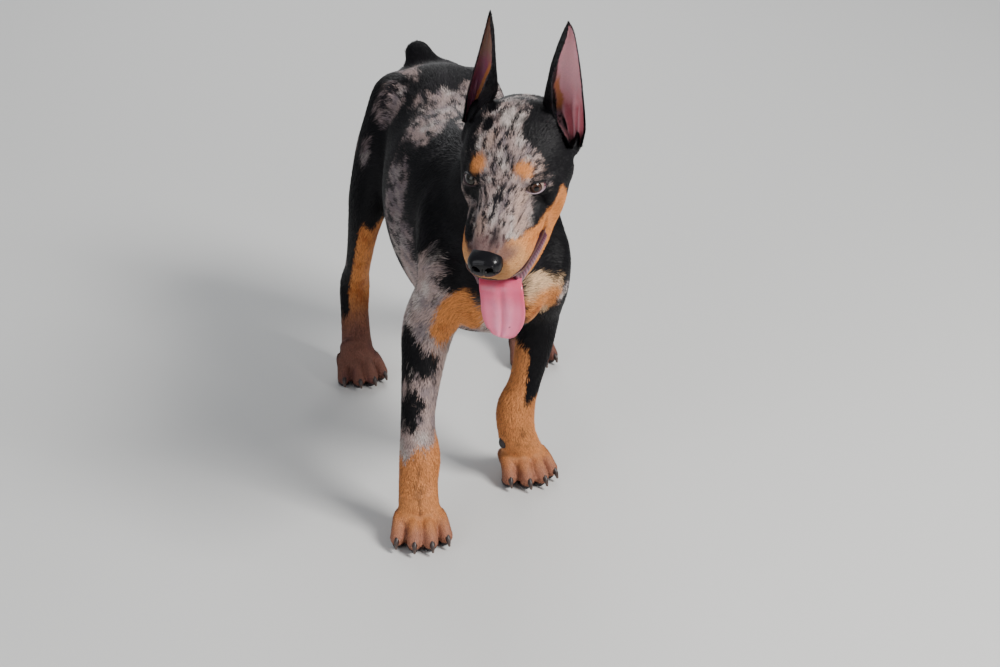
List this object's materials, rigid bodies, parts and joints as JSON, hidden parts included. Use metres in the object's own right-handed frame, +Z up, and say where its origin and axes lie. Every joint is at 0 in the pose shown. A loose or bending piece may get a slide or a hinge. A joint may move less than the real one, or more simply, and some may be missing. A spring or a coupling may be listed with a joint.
{
  "type": "dog figure",
  "caption": "Life-size standing Dobermann puppy with a merle coat, cropped upright ears, docked tail and open mouth with the tongue out.",
  "frame": {"origin": "on the floor, in the middle of the bounding box", "axes": "+X to the puppy's left, +Y towards its tail, +Z up; it looks along -Y with its head turned to its right"},
  "size_m": [0.28, 0.6218, 0.5865],
  "materials": {
    "short_coat": "short flat glossy hair, black with pinkish grey merle patches and tan markings",
    "bare_skin": "moist pebbled black nose leather",
    "tongue_skin": "wet pink tongue",
    "eyeball": "wet amber-brown eye"
  },
  "bodies": {
    "root": {"torso": "short_coat", "neck": "short_coat", "tail": "short_coat", "foreleg_right": "short_coat", "foreleg_left": "short_coat", "hindleg_right": "short_coat", "hindleg_left": "short_coat", "forepaw_right": "short_coat", "forepaw_left": "short_coat", "hindpaw_right": "short_coat", "hindpaw_left": "short_coat", "head": "short_coat", "lower_jaw": "short_coat", "ear_left": "short_coat", "ear_right": "short_coat", "nose": "bare_skin", "tongue": "tongue_skin", "eye_left": "eyeball", "eye_right": "eyeball"}
  },
  "joints": []
}
